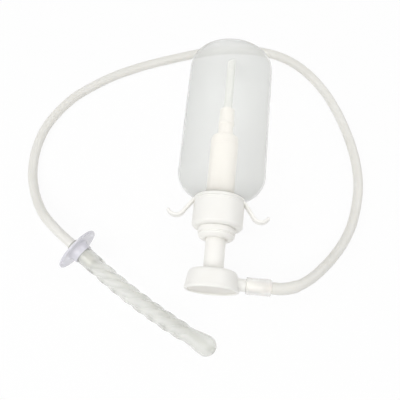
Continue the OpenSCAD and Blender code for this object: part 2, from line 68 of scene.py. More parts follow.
# The pump's axis runs along Y; heights are counted from the bottle's base towards the head
bottleLow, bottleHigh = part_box("bottle")
axisX = (bottleLow.x + bottleHigh.x) / 2
axisZ = (bottleLow.z + bottleHigh.z) / 2
baseY = bottleHigh.y


def heightsOf(node):
    # Lowest and highest place of a node along the pump's axis, in millimetres above the base
    low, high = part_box(node)
    return (baseY - high.y) / mm, (baseY - low.y) / mm


# Camera, at the photograph's place: 348 mm above the ground, 19 degrees off straight down
camera = {
    "spot": (0.03179, -0.11892, 0.34762),
    "look": (-0.03247, 0.32986, -0.94347),
    "right": (0.9952, 0.0979, 0.0),
    "lens": 45,
    "sensor": 36,
}


def makeCamera(settings):
    data = bpy.data.cameras.new("camera")
    data.lens = settings["lens"]
    data.sensor_width = settings["sensor"]
    data.clip_start = 0.01
    piece = bpy.data.objects.new("camera", data)
    scene.collection.objects.link(piece)
    back = -Vector(settings["look"]).normalized()
    right = Vector(settings["right"]).normalized()
    up = back.cross(right)
    turn = Matrix((right, up, back)).transposed().to_4x4()
    piece.matrix_world = Matrix.Translation(settings["spot"]) @ turn
    scene.camera = piece


makeCamera(camera)
print("camera placed")


# Mesh helpers
def gridQuads(rows, columns, closeRows, closeColumns):
    # Point (i, j) of a grid joins (i + 1, j), (i + 1, j + 1) and (i, j + 1), and a closed side
    # joins its last points to its first
    lastRow = rows if closeRows else rows - 1
    lastColumn = columns if closeColumns else columns - 1
    i, j = np.meshgrid(np.arange(lastRow), np.arange(lastColumn), indexing="ij")
    nextI = (i + 1) % rows
    nextJ = (j + 1) % columns
    corners = [i * columns + j, nextI * columns + j, nextI * columns + nextJ, i * columns + nextJ]
    return np.stack(corners, axis=-1).reshape(-1, 4)


def surfacePart(points, closeRows=True, closeColumns=True):
    # A grid of points, rows by columns by 3, as a list of points and its quads
    rows, columns = points.shape[:2]
    return points.reshape(-1, 3), gridQuads(rows, columns, closeRows, closeColumns)


def addPiece(name, parts, material, sharpAngle=35):
    # Joins closed surfaces into one object, closes its poles and turns its faces outwards
    points = np.concatenate([part[0] for part in parts])
    starts = np.cumsum([0] + [len(part[0]) for part in parts[:-1]])
    quads = np.concatenate([part[1] + start for part, start in zip(parts, starts)])
    mesh = bpy.data.meshes.new(name)
    mesh.vertices.add(len(points))
    mesh.vertices.foreach_set("co", points.astype(np.float32).ravel())
    mesh.loops.add(quads.size)
    mesh.loops.foreach_set("vertex_index", quads.astype(np.int32).ravel())
    mesh.polygons.add(len(quads))
    mesh.polygons.foreach_set("loop_start", np.arange(len(quads), dtype=np.int32) * 4)
    mesh.update(calc_edges=True)
    work = bmesh.new()
    work.from_mesh(mesh)
    bmesh.ops.remove_doubles(work, verts=work.verts, dist=2e-6)
    bmesh.ops.dissolve_degenerate(work, edges=work.edges, dist=1e-7)
    bmesh.ops.recalc_face_normals(work, faces=work.faces)
    work.to_mesh(mesh)
    work.free()
    mesh.polygons.foreach_set("use_smooth", np.ones(len(mesh.polygons), bool))
    mesh.set_sharp_from_angle(angle=math.radians(sharpAngle))
    mesh.materials.append(material)
    piece = bpy.data.objects.new(name, mesh)
    scene.collection.objects.link(piece)
    return piece


def pointsOf(*parts):
    # Points from one array for each of their coordinates
    return np.stack(parts, axis=-1)


def evenAngles(count):
    return np.linspace(0, 2 * np.pi, count, endpoint=False)


def circleOf(angles):
    return pointsOf(np.cos(angles), np.sin(angles))


def laid(points):
    # Standing pump (x, y, height) in millimetres, laid down with its height towards -Y
    x, y, height = (points[..., k] for k in range(3))
    return pointsOf(axisX + x * mm, baseY - height * mm, axisZ + y * mm)


def outlineOf(corners, steps=6):
    # Outline through corners (radius, height, rounding): each corner becomes the curve that leaves
    # one side and meets the next, p = (1 - t)^2 start + 2 t (1 - t) corner + t^2 end, where start
    # and end are one rounding away from the corner
    table = np.array(corners, float)
    places = table[:, :2]
    before = np.roll(places, 1, axis=0) - places
    after = np.roll(places, -1, axis=0) - places
    longBefore = np.linalg.norm(before, axis=1, keepdims=True)
    longAfter = np.linalg.norm(after, axis=1, keepdims=True)
    cut = np.minimum(table[:, 2:3], 0.48 * np.minimum(longBefore, longAfter))
    start = places + before / longBefore * cut
    end = places + after / longAfter * cut
    t = np.linspace(0, 1, steps)[None, :, None]
    curve = ((1 - t) ** 2 * start[:, None] + 2 * t * (1 - t) * places[:, None]
             + t ** 2 * end[:, None])
    return curve.reshape(-1, 2)


def turnedPoints(outline, angles):
    # Outline turned about the height: (radius cos angle, radius sin angle, height)
    radius = outline[:, 0][:, None]
    height = np.repeat(outline[:, 1][:, None], len(angles), axis=1)
    return pointsOf(radius * np.cos(angles), radius * np.sin(angles), height)


def turnedPart(outline, place, sides=128):
    return surfacePart(place(turnedPoints(outline, evenAngles(sides))))


def helixRidge(rootRadius, tipRadius, width, pitch, turns, startHeight, place):
    # Screw ridge: an arched section with its root in the wall, carried up the helix
    # (radius cos a, radius sin a, start + pitch a / 2 pi) and run out at both ends
    steps = int(turns * 96)
    along = np.linspace(0, 1, steps)
    angle = 2 * np.pi * turns * along
    height = startHeight + pitch * turns * along
    fade = np.sin(np.pi * np.clip(np.minimum(along, 1 - along) * turns * 6, 0, 0.5))[:, None]
    section = evenAngles(14)
    half = (tipRadius - rootRadius) / 2
    middle = (rootRadius + tipRadius) / 2
    reach = half * np.sign(np.cos(section)) * np.abs(np.cos(section)) ** 0.6
    radius = middle + reach[None, :] * fade - half * (1 - fade)
    lift = width / 2 * np.sin(section)[None, :] * (0.2 + 0.8 * fade)
    points = pointsOf(radius * np.cos(angle)[:, None], radius * np.sin(angle)[:, None],
                      height[:, None] + lift)
    return cappedTube(place(points))


def cappedTube(rings):
    # Open tube of rings whose ends close in a point at the middle of the first and the last ring
    first = np.repeat(rings[:1].mean(axis=1, keepdims=True), rings.shape[1], axis=1)
    last = np.repeat(rings[-1:].mean(axis=1, keepdims=True), rings.shape[1], axis=1)
    return surfacePart(np.concatenate([first, rings, last]), closeRows=False)


def softStep(t):
    # From 0 to 1 with level ends: 3 t^2 - 2 t^3
    return t ** 2 * (3 - 2 * t)


def sweptRings(path, sections, up):
    # Sections (x across, y up) carried along a path: each lies square to the path's own direction
    way = np.gradient(path, axis=0)
    way /= np.linalg.norm(way, axis=1, keepdims=True)
    across = np.cross(np.broadcast_to(up, way.shape), way)
    across /= np.linalg.norm(across, axis=1, keepdims=True)
    above = np.cross(way, across)
    return path[:, None] + sections[..., :1] * across[:, None] + sections[..., 1:2] * above[:, None]


# Materials
def linear(colour):
    # A colour written as sRGB parts of 255, in linear light
    c = np.array(colour, float) / 255
    return [*np.where(c <= 0.04045, c / 12.92, ((c + 0.055) / 1.055) ** 2.4), 1.0]


def setInputs(node, values):
    for name, value in values.items():
        node.inputs[name].default_value = value


def mathOf(tree, operation, first, second):
    # A math node on two values, where the second is a number or another node's output
    node = tree.nodes.new("ShaderNodeMath")
    node.operation = operation
    tree.links.new(first, node.inputs[0])
    if isinstance(second, bpy.types.NodeSocket):
        tree.links.new(second, node.inputs[1])
    else:
        node.inputs[1].default_value = second
    return node.outputs[0]


def mixInto(tree, share, first, second, output):
    # The output shows the first shader, and the second by a share
    mix = tree.nodes.new("ShaderNodeMixShader")
    for k, value in enumerate((share, first.outputs[0], second.outputs[0])):
        tree.links.new(value, mix.inputs[k])
    tree.links.new(mix.outputs[0], tree.nodes[output].inputs["Surface"])


def letLightThrough(tree, shader, share):
    # Shadow rays pass the surface by a share, so what lies behind or inside it stays lit
    rays = tree.nodes.new("ShaderNodeLightPath")
    part = mathOf(tree, "MULTIPLY", rays.outputs["Is Shadow Ray"], share)
    clear = tree.nodes.new("ShaderNodeBsdfTransparent")
    mixInto(tree, part, shader, clear, "Material Output")


def cloudUp(tree, shader, place, settings):
    # The clear share falls along the pump's axis, where a blown base is thicker and milkier
    spot = tree.nodes.new("ShaderNodeSeparateXYZ")
    tree.links.new(place.outputs["Object"], spot.inputs[0])
    fall = tree.nodes.new("ShaderNodeMapRange")
    fall.interpolation_type = "SMOOTHSTEP"
    start, end, least = settings["cloudy"]
    setInputs(fall, {"From Min": start, "From Max": end,
                     "To Min": settings["clear"], "To Max": least})
    tree.links.new(spot.outputs["Y"], fall.inputs["Value"])
    tree.links.new(fall.outputs["Result"], shader.inputs["Transmission Weight"])


def plastic(name, settings):
    # Moulded plastic: slow cloudy colour and gloss changes, and a fine skin of bumps
    material = bpy.data.materials.new(name)
    material.use_nodes = True
    tree = material.node_tree
    nodes, links = tree.nodes, tree.links
    shader = nodes["Principled BSDF"]
    place = nodes.new("ShaderNodeTexCoord")
    cloud = nodes.new("ShaderNodeTexNoise")
    setInputs(cloud, {"Scale": settings.get("cloudScale", 60), "Detail": 3})
    links.new(place.outputs["Object"], cloud.inputs["Vector"])
    tint = nodes.new("ShaderNodeMix")
    tint.data_type = "RGBA"
    tint.inputs[6].default_value = linear(settings["colour"])  # sockets 6, 7 and 2 are the colours
    tint.inputs[7].default_value = linear(settings["deep"])
    links.new(cloud.outputs["Fac"], tint.inputs[0])
    links.new(tint.outputs[2], shader.inputs["Base Color"])
    gloss = nodes.new("ShaderNodeMapRange")
    spread = settings.get("roughSpread", 0.04)
    setInputs(gloss, {"From Min": 0.3, "From Max": 0.7,
                      "To Min": settings["rough"] - spread, "To Max": settings["rough"] + spread})
    links.new(cloud.outputs["Fac"], gloss.inputs["Value"])
    links.new(gloss.outputs["Result"], shader.inputs["Roughness"])
    grain = nodes.new("ShaderNodeTexNoise")
    setInputs(grain, {"Scale": settings.get("grainScale", 900), "Detail": 4})
    links.new(place.outputs["Object"], grain.inputs["Vector"])
    bump = nodes.new("ShaderNodeBump")
    setInputs(bump, {"Strength": settings.get("grain", 0.08),
                     "Distance": settings.get("grainDepth", 0.0001)})
    links.new(grain.outputs["Fac"], bump.inputs["Height"])
    links.new(bump.outputs["Normal"], shader.inputs["Normal"])
    setInputs(shader, {
        "IOR": settings.get("ior", 1.46),
        "Transmission Weight": settings.get("clear", 0),
        "Alpha": settings.get("cover", 1),
        "Subsurface Weight": settings.get("depth", 0),
        "Subsurface Radius": settings.get("depthColour", (1, 1, 1)),
        "Subsurface Scale": settings.get("depthScale", 0.002),
        "Coat Weight": settings.get("coat", 0),
        "Coat Roughness": settings.get("coatRough", 0.1),
        "Metallic": settings.get("metal", 0)})
    if "cloudy" in settings:
        cloudUp(tree, shader, place, settings)
    if "through" in settings:
        letLightThrough(tree, shader, settings["through"])
    return material


# Colours are sRGB parts of 255; clear is the share of light that goes through, cloudy gives the two
# places along Y between which it falls and its least, and through is the share for shadow rays
finishes = {
    "milkyBottle": plastic("milky bottle plastic", {
        "colour": (239, 239, 238), "deep": (235, 236, 235), "rough": 0.2, "roughSpread": 0.02,
        "cloudScale": 22, "clear": 0.84, "cloudy": (0.07, 0.096, 0.77), "ior": 1.01, "through": 0.9,
        "grain": 0}),
    "whiteMoulding": plastic("white moulding", {
        "colour": (249, 248, 244), "deep": (244, 242, 237), "rough": 0.32, "cloudScale": 70,
        "grain": 0.06, "grainScale": 1400, "depth": 0.15, "depthScale": 0.0015}),
    "pumpMoulding": plastic("pump moulding", {
        "colour": (235, 230, 223), "deep": (231, 225, 217), "rough": 0.38, "cloudScale": 90,
        "grain": 0.05, "grainScale": 1100}),
    # The head's end disc is a darker copy of the white moulding: painted shade for a face turned
    # away from the light
    "headFacePaintedShade": plastic("head face painted shade", {
        "colour": (237, 234, 227), "deep": (232, 229, 222), "rough": 0.4, "cloudScale": 110,
        "grain": 0.1, "grainScale": 1600}),
    "dipTube": plastic("dip tube plastic", {
        "colour": (228, 228, 223), "deep": (224, 224, 218), "rough": 0.3, "cloudScale": 80,
        "cover": 0.9, "grain": 0.05}),
    "foam": plastic("gasket foam", {
        "colour": (230, 230, 226), "deep": (205, 205, 200), "rough": 0.85, "cloudScale": 700,
        "grain": 0.5, "grainScale": 2600, "grainDepth": 0.0003}),
    "steel": plastic("polished steel", {
        "colour": (205, 207, 210), "deep": (190, 192, 196), "rough": 0.18, "metal": 1,
        "grain": 0.03, "grainScale": 3000}),
    "clearSleeve": plastic("clear sleeve", {
        "colour": (251, 250, 248), "deep": (248, 247, 244), "rough": 0.16, "cloudScale": 120,
        "clear": 0.7, "ior": 1.38, "through": 0.75, "grain": 0.01}),
    "siliconeHose": plastic("silicone hose", {
        "colour": (237, 235, 229), "deep": (229, 227, 219), "rough": 0.36, "cloudScale": 45,
        "depth": 0.3, "depthScale": 0.003, "depthColour": (1.0, 0.95, 0.85), "grain": 0.08,
        "grainScale": 700, "coat": 0.2, "coatRough": 0.3}),
    "nozzlePlastic": plastic("nozzle plastic", {
        "colour": (235, 235, 231), "deep": (227, 228, 224), "rough": 0.17, "cloudScale": 60,
        "clear": 0.7, "ior": 1.3, "through": 0.8, "grain": 0.04, "grainScale": 900, "coat": 0.4}),
    "discPlastic": plastic("guard disc plastic", {
        "colour": (243, 242, 248), "deep": (237, 236, 243), "rough": 0.22, "cloudScale": 70,
        "clear": 0.35, "ior": 1.46, "through": 0.7, "grain": 0.04, "coat": 0.3}),
}
print("materials made:", len(finishes))


def finish(piece, body):
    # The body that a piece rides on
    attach(piece, body)
    return piece


# Nozzle and guard disc in millimetres; the nozzle's line is the one that the guard slides along
nozzle = {
    "spot": (-59, -46.3),  # the disc's middle, seen from above
    "rootRadius": 6.1,
    "rootBack": 5,
    "rootEnd": 4.2,
    "rootLength": 22,
    "socket": 20,
    "bore": 1.7,
    "strands": 4,
    "strandRadius": 3.4,
    "strandOffset": 2.6,
    "twistLength": 71,
    "twistPitch": 40.8,
    "twistStart": 11,
    "twistFade": 9,
    "twistPast": 4,
    "bow": 405,
    "flareLength": 15,
    "bulbRadius": 6.9,
    "waistRadius": 5.1,
    "discRadius": 16,
    "discThickness": 1.6,
    "hubRadius": 7.2,
    "hubLength": 5,
}
slide = next(joint for joint in frame["joints"] if joint["name"] == "guard_slide")
guardWay = Vector(slide["axis"]).normalized()
nozzleDip = -math.asin(guardWay.z)
nozzleHeading = math.atan2(guardWay.y, guardWay.x)
discMiddle = (nozzle["discRadius"] * math.cos(nozzleDip)
              + nozzle["discThickness"] / 2 * math.sin(nozzleDip))
nozzleSpot = Vector((*nozzle["spot"], discMiddle)) * mm
nozzleTurn = np.array(Matrix.Rotation(nozzleHeading, 3, "Z")
                      @ Matrix.Rotation(math.pi / 2 + nozzleDip, 3, "Y"))


def alongNozzle(points):
    # A piece drawn along its height, turned into the nozzle's own line
    return points @ nozzleTurn.T * mm + np.array(nozzleSpot)


def bowed(points):
    # The straight nozzle carried round its bow, where a is the turn through the twisted stretch:
    # y' = y cos a + bow (1 - cos a) + past sin a, height' = root + (bow - y) sin a + past cos a
    x, y, height = (points[..., k] for k in range(3))
    bow, root = nozzle["bow"], nozzle["rootLength"]
    a = np.clip(height - root, 0, nozzle["twistLength"]) / bow
    past = np.maximum(height - root - nozzle["twistLength"], 0)
    across = y * np.cos(a) + bow * (1 - np.cos(a)) + past * np.sin(a)
    along = np.minimum(height, root) + (bow - y) * np.sin(a) + past * np.cos(a)
    return pointsOf(x, across, along)


sleeveLow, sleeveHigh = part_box("hose_connector")
spoutHeight = (baseY - (sleeveLow.y + sleeveHigh.y) / 2) / mm

# Hose: its route is the photographed lie, from the sleeve round behind the bottle to the nozzle
hose = {
    "radius": 3.4,
    "bore": 2.45,
    "cuffRadius": 3.9,
    "cuffLength": 15,
    "cuffTaper": 5,
    "barb": 4.5,
    "straight": 1.2,
    "lead": 12,
    "intoRoot": 3,
    "steps": 8,
    "sides": 28,
    "splitAt": 96,
    "blendWay": (-0.084, 0.063, 0),  # metres, from the split to where the hose lies still
    "route": [  # metres
        (0.0832, -0.0613, 0.0296), (0.0891, -0.0589, 0.0286), (0.0945, -0.0554, 0.0272),
        (0.0994, -0.0513, 0.025), (0.1049, -0.0456, 0.0222), (0.1131, -0.036, 0.0174),
        (0.1219, -0.023, 0.0118), (0.1291, -0.0078, 0.0069), (0.1334, 0.0088, 0.004),
        (0.1349, 0.0245, 0.0035), (0.1335, 0.04, 0.0035), (0.1298, 0.056, 0.0035),
        (0.1242, 0.0719, 0.0035), (0.1177, 0.0861, 0.0035), (0.1096, 0.0998, 0.0035),
        (0.0993, 0.1125, 0.0035), (0.0879, 0.1223, 0.0035), (0.0755, 0.129, 0.0035),
        (0.0615, 0.1329, 0.0035), (0.0465, 0.134, 0.0035), (0.03, 0.1328, 0.0035),
        (0.0105, 0.1282, 0.0035), (-0.0145, 0.1194, 0.0035), (-0.0385, 0.1096, 0.0035),
        (-0.0615, 0.0971, 0.0035), (-0.082, 0.0813, 0.0035), (-0.0912, 0.0711, 0.0035),
        (-0.0989, 0.0592, 0.0035), (-0.1043, 0.0466, 0.0035), (-0.1069, 0.0334, 0.0035),
        (-0.1072, 0.0209, 0.0035), (-0.1051, 0.008, 0.0044), (-0.1004, -0.0041, 0.0071),
        (-0.0939, -0.0153, 0.0112), (-0.0857, -0.0256, 0.0156)],
}


def smoothRoute(points, steps):
    # Curve through the points: between b and c, with neighbours a and d, it is
    # (2b + (c - a)t + (2a - 5b + 4c - d)t^2 + (3b - a - 3c + d)t^3) / 2
    t = np.linspace(0, 1, steps, endpoint=False)[None, :, None]
    padded = np.concatenate([points[:1], points, points[-1:]])
    a, b, c, d = (padded[k:len(padded) - 3 + k][:, None] for k in range(4))
    square = (2 * a - 5 * b + 4 * c - d) * t ** 2
    cube = (3 * b - a - 3 * c + d) * t ** 3
    curve = (2 * b + (c - a) * t + square + cube) / 2
    return np.concatenate([curve.reshape(-1, 3), points[-1:]])


def makeHose(settings):
    # Tube of rings round the route: wide over the barb, then it shrinks in a soft step to the
    # hose's own radius
    start = np.array([sleeveHigh.x + 0.1 * mm, baseY - spoutHeight * mm, axisZ])
    way = np.array(guardWay)
    spot = np.array(nozzleSpot)
    backs = [nozzle["rootBack"] + settings["lead"], nozzle["rootBack"] - settings["intoRoot"]]
    ends = [spot - way * back * mm for back in backs]
    ends.append(spot + way * (nozzle["socket"] - nozzle["rootBack"] - 0.1) * mm)
    second = start + np.array([(settings["barb"] + settings["straight"]) * mm, 0, 0])
    route = smoothRoute(np.array([start, second, *settings["route"], *ends]), settings["steps"])
    along = np.concatenate([[0], np.cumsum(np.linalg.norm(np.diff(route, axis=0), axis=1))])
    taper = softStep(np.clip((along / mm - settings["cuffLength"]) / settings["cuffTaper"], 0, 1))
    outer = (settings["cuffRadius"] + (settings["radius"] - settings["cuffRadius"]) * taper) * mm
    circle = circleOf(evenAngles(settings["sides"]))
    wall = sweptRings(route, outer[:, None, None] * circle[None], (0, 0, 1))
    inner = settings["bore"] * mm * np.repeat(circle[None], len(route), axis=0)
    inside = sweptRings(route, inner, (0, 0, 1))
    split = int(np.searchsorted(along, settings["splitAt"] * mm))
    pieces = []
    for name, first, last in (("hose_by_head", 0, split + 1),
                              ("hose_on_ground", split, len(route))):
        rings = np.concatenate([wall[first:last], inside[first:last][::-1]])
        piece = addPiece(name, [surfacePart(rings)], finishes["siliconeHose"], 60)
        pieces.append((piece, route[first:last], along[last - 1] - along[first]))
    return pieces


nearHose, farHose = makeHose(hose)
for (piece, line, length), bodies in ((nearHose, ("head", "plunger")),
                                      (farHose, ("plunger", "pump_body"))):
    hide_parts("hose")
    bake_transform(piece)
print("hose made:", round((nearHose[2] + farHose[2]) / mm), "mm")

# Bottle: soft milky plastic, hollow, with a foot ring under its base and a screw thread on its neck
bottle = {
    "radius": (bottleHigh.x - bottleLow.x) / 2 / mm,
    "wall": 1.2,
    "baseRound": 12,
    "bodyHeight": 95,
    "neckRadius": 12.9,
    "neckBore": 10.7,
    "neckTop": heightsOf("bottle")[1],
    "footRadius": 15.5,
    "footRise": 0.9,
    "ripple": 0.05,
    "threadPitch": 4.2,
    "threadTurns": 1.5,
    "threadHeight": 0.85,
    "threadWidth": 1.5,
    "threadBack": 2.2,
    "sides": 180,
    "bodyRows": 24,
}


def makeBottle(s):
    # Outline: base with a shallow hollow, quarter circle, straight body, quarter circle shoulder,
    # neck, and back inside one wall away; the body's radius is then pressed in and out a little by
    # the waves cos 2a + cos 3a / 2 + 0.4 sin a, the last two of which turn with the height
    neckRoot = s["bodyHeight"] + s["radius"] - s["neckRadius"]
    quarter = np.linspace(0, np.pi / 2, 22)
    hollow = np.linspace(0, 1, 16)
    bodyRows = np.linspace(0.05, 0.95, s["bodyRows"])

    def shell(wall):
        base = s["baseRound"] - wall
        shoulder = s["radius"] - s["neckRadius"] - wall
        middle = s["radius"] - s["baseRound"]
        dome = pointsOf(s["footRadius"] * hollow,
                        wall + s["footRise"] * np.cos(np.pi / 2 * hollow) ** 0.7)
        edge = pointsOf(middle + base * np.sin(quarter), s["baseRound"] - base * np.cos(quarter))
        straight = s["baseRound"] + (s["bodyHeight"] - s["baseRound"]) * bodyRows
        side = pointsOf(np.full(s["bodyRows"], s["radius"] - wall), straight)
        top = pointsOf(s["neckRadius"] + shoulder * np.cos(quarter),
                       s["bodyHeight"] + shoulder * np.sin(quarter))
        return np.concatenate([dome, edge, side, top])

    rim = outlineOf([
        (s["neckRadius"], neckRoot, 0.6), (s["neckRadius"], s["neckTop"], 0.5),
        (s["neckBore"], s["neckTop"], 0.5), (s["neckBore"], neckRoot - s["wall"], 1.2)])
    outline = np.concatenate([shell(0), rim, shell(s["wall"])[::-1]])
    angles = evenAngles(s["sides"])
    points = turnedPoints(outline, angles)
    height = outline[:, 1][:, None]
    onBody = np.clip((height - 8) / 12, 0, 1) * np.clip((s["bodyHeight"] + 6 - height) / 14, 0, 1)
    wave = (np.cos(2 * angles + 0.4) + 0.5 * np.cos(3 * angles - height / 22)
            + 0.4 * np.sin(height / 13 + angles))
    grow = 1 + s["ripple"] * (wave - 1.9) * onBody / s["radius"]
    points[..., 0] *= grow
    points[..., 1] *= grow
    pitch, turns = s["threadPitch"], s["threadTurns"]
    thread = helixRidge(s["neckRadius"] - 0.3, s["neckRadius"] + s["threadHeight"],
                        s["threadWidth"], pitch, turns,
                        s["neckTop"] - s["threadBack"] - pitch * turns, laid)
    parts = [surfacePart(laid(points), closeRows=False), thread]
    piece = addPiece("bottle_shell", parts, finishes["milkyBottle"], 40)
    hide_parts("bottle")
    return finish(piece, "bottle")


makeBottle(bottle)
print("bottle made")

# Cap and finger grip
capBottom, capTop = heightsOf("screw_cap")
capLow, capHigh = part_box("screw_cap")
cap = {
    "radius": (capHigh.x - capLow.x) / 2 / mm,
    "bore": 14.3,
    "bottom": capBottom,
    "top": capTop,
    "plate": 2.4,
    "hole": 9.7,
    "chamfer": 1.5,
    "groove": 0.25,
    "threadBack": 3.95,
}


def makeCap(s):
    # Skirt and end plate, with a soft round edge at the top and a fine line above the grip
    outline = outlineOf([
        (s["bore"] + 1, s["bottom"], 0.1), (s["radius"], s["bottom"], 0.35),
        (s["radius"], s["bottom"] + 1.4, 0.1), (s["radius"] - s["groove"], s["bottom"] + 1.7, 0.1),
        (s["radius"], s["bottom"] + 2, 0.1), (s["radius"], s["top"] - s["chamfer"], 0.8),
        (s["radius"] - s["chamfer"], s["top"], 0.8),
        (s["hole"], s["top"], 0.3), (s["hole"], s["top"] - s["plate"], 0.2),
        (s["bore"], s["top"] - s["plate"], 0.6), (s["bore"], s["bottom"] + 2.1, 0.3),
        (s["bore"] + 1, s["bottom"] + 2, 0.2)], steps=8)
    pitch, turns = bottle["threadPitch"], bottle["threadTurns"]
    thread = helixRidge(s["bore"] + 0.3, bottle["neckRadius"] + 0.3,
                        bottle["threadWidth"], pitch, turns,
                        bottle["neckTop"] - s["threadBack"] - pitch * turns, laid)
    parts = [turnedPart(outline, laid, 160), thread]
    piece = addPiece("cap_shell", parts, finishes["whiteMoulding"])
    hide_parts("screw_cap")
    return finish(piece, "cap")


makeCap(cap)

grip = {
    "ring": 17.2,
    "ringHeight": 2.3,
    "bore": 14.4,
    "reach": 34.5,
    "thick": 2.2,
    "wide": 6,
    "bend": 5.9,
    "bendHeight": 5.6,
    "tipAngle": 33,
    "rootAngle": 158,
    "tipSteps": 8,
}


def makeGrip(s):
    # Ring under the cap, and two hooks: an oval section carried along a straight root and then
    # round an arc, narrowed to a half round at its tip by sqrt(1 - t^2)
    foot = cap["bottom"]
    ring = outlineOf([
        (s["bore"], foot - s["ringHeight"], 0.3), (s["ring"] - 0.2, foot - s["ringHeight"], 0.9),
        (s["ring"], foot - 0.1, 0.5), (s["bore"] + 0.95, foot, 0.1),
        (s["bore"] + 0.85, foot + 1.8, 0.2), (s["bore"], foot + 1.8, 0.2)])
    parts = [turnedPart(ring, laid, 160)]
    tip = math.radians(s["tipAngle"])
    middle = np.array([s["reach"] - s["thick"] / 2 - s["bend"] * math.cos(tip),
                       foot + s["bendHeight"]])
    angles = np.radians(np.linspace(s["rootAngle"], s["tipAngle"], 40))
    curl = middle + s["bend"] * circleOf(angles)
    root = np.array([[cap["radius"] - 1, foot - 0.8], [cap["radius"] + 0.4, foot - 0.1]])
    straight = root[1:] + (curl[0] - root[1]) * np.linspace(0.2, 0.85, 6)[:, None]
    line = np.concatenate([root[:1], root[:1] * 0.5 + root[1:] * 0.5, root[1:], straight, curl])
    last = curl[-1] - curl[-2]
    last /= np.linalg.norm(last)
    roundOff = np.linspace(0, 0.995, s["tipSteps"] + 1)[1:]
    line = np.concatenate([line, curl[-1] + last * roundOff[:, None] * s["thick"] / 2])
    size = np.concatenate([np.ones(len(line) - s["tipSteps"]), np.sqrt(1 - roundOff ** 2)])
    turn = evenAngles(36)
    oval = pointsOf(np.sign(np.cos(turn)) * np.abs(np.cos(turn)) ** 0.4 * s["wide"] / 2,
                    np.sign(np.sin(turn)) * np.abs(np.sin(turn)) ** 0.6 * s["thick"] / 2)
    sections = np.repeat(oval[None], len(line), axis=0)
    sections[..., 1] *= size[:, None]
    sections[..., 0] *= (0.55 + 0.45 * size)[:, None]
    for side in (1, -1):
        path = pointsOf(side * line[:, 0], np.zeros(len(line)), line[:, 1])
        way = np.gradient(path, axis=0)
        way /= np.linalg.norm(way, axis=1, keepdims=True)
        normal = np.cross(way, (0, 1, 0))
        rings = (path[:, None] + sections[..., :1] * np.array([0, 1, 0])
                 + sections[..., 1:] * normal[:, None])
        parts.append(cappedTube(laid(rings)))
    piece = addPiece("grip_with_hooks", parts, finishes["whiteMoulding"], 50)
    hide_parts("finger_grip")
    return finish(piece, "cap")


makeGrip(grip)
print("cap and grip made")

# Pump housing, collar and stem
housingLow, housingHigh = heightsOf("pump_housing")
housing = {
    "barrel": 9.5,
    "barrelBore": 8,
    "barrelHeight": housingLow + 22,
    "stage": 5.2,
    "flange": 13.3,
    "flangeHeight": 129.9,
    "flangeThick": 1.6,
    "bottom": housingLow,
    "top": housingHigh,
    "tubeBore": 3.05,
    "chamber": 3.5,
    "seat": 1.8,
    "rings": 3,
    "ringGap": 1.6,
}


def makeHousing(s):
    # Stepped barrel: narrow stage with its bead, a short cone, barrel with rings, and the flange
    low = s["bottom"]
    corners = [
        (s["tubeBore"], low + 10.6, 0.2), (s["tubeBore"], low, 0.2), (s["stage"], low, 0.6),
        (s["stage"], low + 10.2, 0.2), (s["stage"] + 0.55, low + 10.7, 0.3),
        (s["stage"] + 0.55, low + 11.9, 0.3), (s["stage"], low + 12.4, 0.2),
        (s["stage"], s["barrelHeight"] - 1.2, 0.6),
        (s["stage"] + 1.2, s["barrelHeight"] - 0.1, 0.4),
        (s["barrel"] - 0.9, s["barrelHeight"], 0.3), (s["barrel"], s["barrelHeight"] + 1.1, 0.8)]
    for ring in range(s["rings"]):
        height = s["barrelHeight"] + 4 + s["ringGap"] * ring
        corners += [(s["barrel"], height, 0.1), (s["barrel"] - 0.3, height + 0.3, 0.1),
                    (s["barrel"], height + 0.6, 0.1)]
    flangeTop = s["flangeHeight"] + s["flangeThick"]
    floor = s["barrelHeight"] + 2
    corners += [
        (s["barrel"], s["flangeHeight"], 0.2), (s["flange"], s["flangeHeight"], 0.2),
        (s["flange"], flangeTop, 0.2), (s["barrel"], flangeTop, 0.2), (s["barrel"], s["top"], 0.2),
        (s["barrelBore"], s["top"], 0.2), (s["barrelBore"], floor, 0.2), (s["chamber"], floor, 0.2),
        (s["chamber"], low + 13.7, 0.2), (s["seat"], low + 12, 0.1), (s["seat"], low + 10.6, 0.1)]
    barrel = turnedPart(outlineOf(corners), laid, 128)
    piece = addPiece("barrel_shell", [barrel], finishes["pumpMoulding"])
    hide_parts("pump_housing")
    return finish(piece, "pump_body")


makeHousing(housing)

collarLow, collarHigh = heightsOf("locking_collar")
collar = {
    "radius": 12.5,
    "bottom": collarHigh - 7.4,
    "top": collarHigh,
    "band": 3.3,
    "inside": 7.95,
    "under": 9.55,
    "underDepth": 4.5,
    "stemHole": 6.7,
    "skirt": collarLow,
}


def makeCollar(s):
    # Stepped ring: a plain band, a fine groove, then a shoulder that rounds over to the stem
    low = s["bottom"]
    band = low + s["band"]
    outline = outlineOf([
        (s["under"], low, 0.15), (s["radius"], low, 0.3), (s["radius"], band, 0.3),
        (s["radius"] - 0.75, band + 0.35, 0.12), (s["radius"] - 0.75, band + 0.75, 0.12),
        (s["radius"] - 0.3, band + 1.1, 0.25), (s["radius"] - 0.35, s["top"] - 2, 0.8),
        (s["radius"] - 2.3, s["top"], 0.9), (s["stemHole"] + 1, s["top"], 0.4),
        (s["stemHole"], s["top"] - 0.9, 0.3), (s["stemHole"], s["skirt"], 0.2),
        (s["inside"], s["skirt"], 0.2), (s["inside"], low + s["underDepth"], 0.1),
        (s["under"], low + s["underDepth"], 0.1)], steps=9)
    piece = addPiece("collar_ring", [turnedPart(outline, laid, 160)], finishes["whiteMoulding"])
    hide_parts("locking_collar")
    return finish(piece, "pump_body")


makeCollar(collar)

stemLow, stemHigh = heightsOf("stem")
stem = {
    "radius": 6.65,
    "foot": stemLow,
    "top": stemHigh,
    "bore": 2.2,
    "chamber": 3.5,
    "chamberTop": 135,
}


